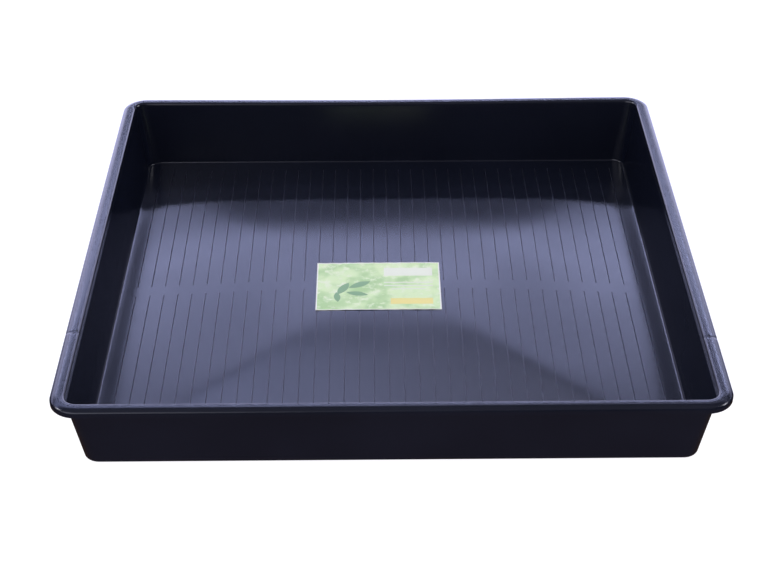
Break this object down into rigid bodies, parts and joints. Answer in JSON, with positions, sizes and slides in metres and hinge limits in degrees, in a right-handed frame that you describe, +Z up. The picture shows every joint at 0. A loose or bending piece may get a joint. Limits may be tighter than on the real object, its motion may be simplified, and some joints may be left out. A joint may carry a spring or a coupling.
{
  "type": "watering tray",
  "caption": "Shallow square garden tray in black plastic with drafted walls, an arched rim, a low crowned base with fine ribs and a stuck-on label, for standing plants in to water them.",
  "frame": {"origin": "centre of the tray's outline, on the surface it stands on", "axes": "+Z up out of the open top; +Y along the base ribs, away from the viewer; +X across the ribs"},
  "size_m": [1, 1, 0.124],
  "materials": {
    "tray": "satin",
    "label": "satin"
  },
  "bodies": {
    "root": {"tray": "tray", "label": "label"}
  },
  "joints": []
}
